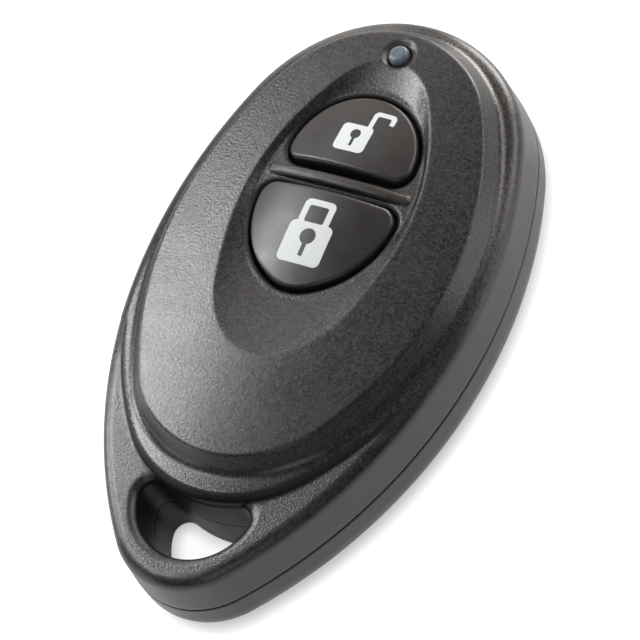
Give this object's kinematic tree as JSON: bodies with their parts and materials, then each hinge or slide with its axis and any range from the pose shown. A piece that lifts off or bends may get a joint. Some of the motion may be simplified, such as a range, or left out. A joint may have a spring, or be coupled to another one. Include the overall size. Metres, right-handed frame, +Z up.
{
  "type": "two-button radio key fob",
  "caption": "Egg-shaped radio key fob with lock and unlock keys in a dished recess, an indicator light and a key-ring loop at its narrow end.",
  "frame": {"origin": "on the ground under the middle of the case, which lies on its back", "axes": "+X across the case, +Y from the key-ring loop towards the indicator light, +Z up out of the buttons"},
  "size_m": [0.0362, 0.062, 0.013],
  "materials": {
    "case_front": "fine spark-eroded grain on the top, smooth satin sides",
    "case_rear": "smooth satin sides, fine grain on the back",
    "screw_steel": "bright zinc",
    "key_rubber": "smooth satin",
    "mat_rubber": "matt",
    "board": "green solder mask",
    "copper": "bare copper",
    "switch_housing": "moulded black",
    "switch_plunger": "moulded ivory",
    "spring_steel": "stainless strip",
    "tinned_leads": "tinned",
    "light_pipe": "moulded clear, lightly diffused",
    "lamp_body": "moulded",
    "chip_mould": "moulded black epoxy",
    "can_steel": "plated can",
    "ceramic_white": "ceramic",
    "rotor_brass": "plated",
    "resistor_black": "glazed",
    "ceramic_tan": "ceramic",
    "cell_steel": "bright drawn steel",
    "cell_seal": "moulded nylon"
  },
  "bodies": {
    "casing": {"front_shell": "case_front", "rear_shell": "case_rear", "case_screw": "screw_steel", "lock_web": "mat_rubber", "unlock_web": "mat_rubber", "keypad_mat": "mat_rubber", "circuit_board": "board", "antenna_loop": "copper", "lock_switch_base": "switch_housing", "lock_switch_dome": "spring_steel", "lock_switch_cover": "spring_steel", "lock_switch_legs": "tinned_leads", "unlock_switch_base": "switch_housing", "unlock_switch_dome": "spring_steel", "unlock_switch_cover": "spring_steel", "unlock_switch_legs": "tinned_leads", "indicator_lens": "light_pipe", "indicator_lamp": "lamp_body", "encoder_chip": "chip_mould", "encoder_leads": "tinned_leads", "saw_resonator": "can_steel", "trimmer_base": "ceramic_white", "trimmer_rotor": "rotor_brass", "transistor": "chip_mould", "transistor_leads": "tinned_leads", "resistors": "resistor_black", "resistor_ends": "tinned_leads", "capacitors": "ceramic_tan", "capacitor_ends": "tinned_leads", "cell_can": "cell_steel", "cell_seal": "cell_seal", "cell_cap": "cell_steel", "positive_clip": "spring_steel", "negative_spring": "spring_steel"},
    "lock_key": {"lock_button": "key_rubber"},
    "unlock_key": {"unlock_button": "key_rubber"},
    "lock_plunger": {"lock_switch_plunger": "switch_plunger"},
    "unlock_plunger": {"unlock_switch_plunger": "switch_plunger"}
  },
  "joints": [
    {"name": "lock_press", "type": "slide", "parent": "casing", "child": "lock_key", "axis": [0, 0, -1], "range_m": [0, 0.0003], "stiffness_N_per_m": 5000, "deforming": ["lock_web"]},
    {"name": "unlock_press", "type": "slide", "parent": "casing", "child": "unlock_key", "axis": [0, 0, -1], "range_m": [0, 0.0003], "stiffness_N_per_m": 5000, "deforming": ["unlock_web"]},
    {"name": "lock_click", "type": "slide", "parent": "casing", "child": "lock_plunger", "axis": [0, 0, -1], "range_m": [0, 0.0003], "deforming": ["lock_switch_dome"]},
    {"name": "unlock_click", "type": "slide", "parent": "casing", "child": "unlock_plunger", "axis": [0, 0, -1], "range_m": [0, 0.0003], "deforming": ["unlock_switch_dome"]}
  ],
  "couplings": [
    {"joint": "lock_click", "follows": "lock_press", "ratio": 1},
    {"joint": "unlock_click", "follows": "unlock_press", "ratio": 1}
  ]
}
